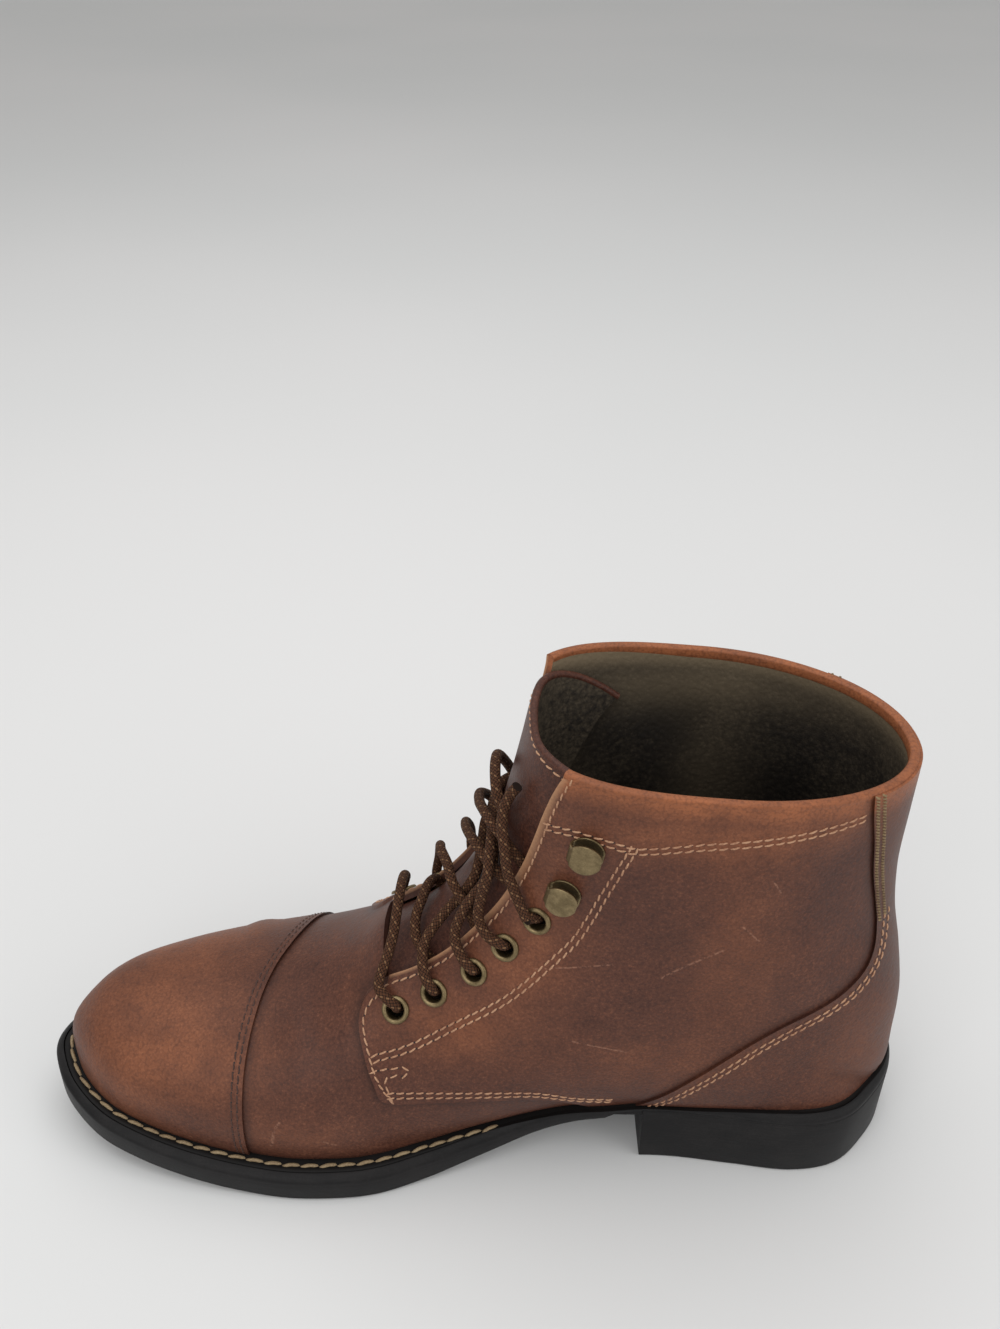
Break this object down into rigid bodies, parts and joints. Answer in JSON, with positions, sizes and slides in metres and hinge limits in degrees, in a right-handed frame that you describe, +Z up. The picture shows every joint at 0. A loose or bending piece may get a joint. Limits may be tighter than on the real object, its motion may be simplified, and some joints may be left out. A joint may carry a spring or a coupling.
{
  "type": "lace-up ankle boot",
  "caption": "Cap-toe lace-up ankle boot for the right foot, with a hollow leather upper, a tongue, brass eyelets and hooks, and a welted rubber sole with a block heel.",
  "frame": {"origin": "on the floor, in the middle of the sole's length and width", "axes": "+X to the toe, +Y to the inner side of the foot, +Z up"},
  "size_m": [0.3, 0.1089, 0.1672],
  "materials": {
    "brown_leather": "waxed, satin",
    "black_rubber": "matt",
    "black_welt": "matt",
    "olive_lining": "soft, matt",
    "aged_brass": "aged, satin",
    "brown_cord": "woven"
  },
  "bodies": {
    "root": {"outsole": "black_rubber", "heel": "black_rubber", "welt": "black_welt", "insole": "olive_lining", "upper": "brown_leather", "tongue": "brown_leather", "lace_bar": "brown_cord", "lace_end_inner": "brown_cord", "lace_end_outer": "brown_cord", "lace_crossing_1": "brown_cord", "lace_crossing_2": "brown_cord", "lace_crossing_3": "brown_cord", "lace_crossing_4": "brown_cord", "eyelet_inner_1": "aged_brass", "eyelet_inner_2": "aged_brass", "eyelet_inner_3": "aged_brass", "eyelet_inner_4": "aged_brass", "eyelet_inner_5": "aged_brass", "hook_inner_1": "aged_brass", "hook_inner_2": "aged_brass", "eyelet_outer_1": "aged_brass", "eyelet_outer_2": "aged_brass", "eyelet_outer_3": "aged_brass", "eyelet_outer_4": "aged_brass", "eyelet_outer_5": "aged_brass", "hook_outer_1": "aged_brass", "hook_outer_2": "aged_brass"}
  },
  "joints": []
}
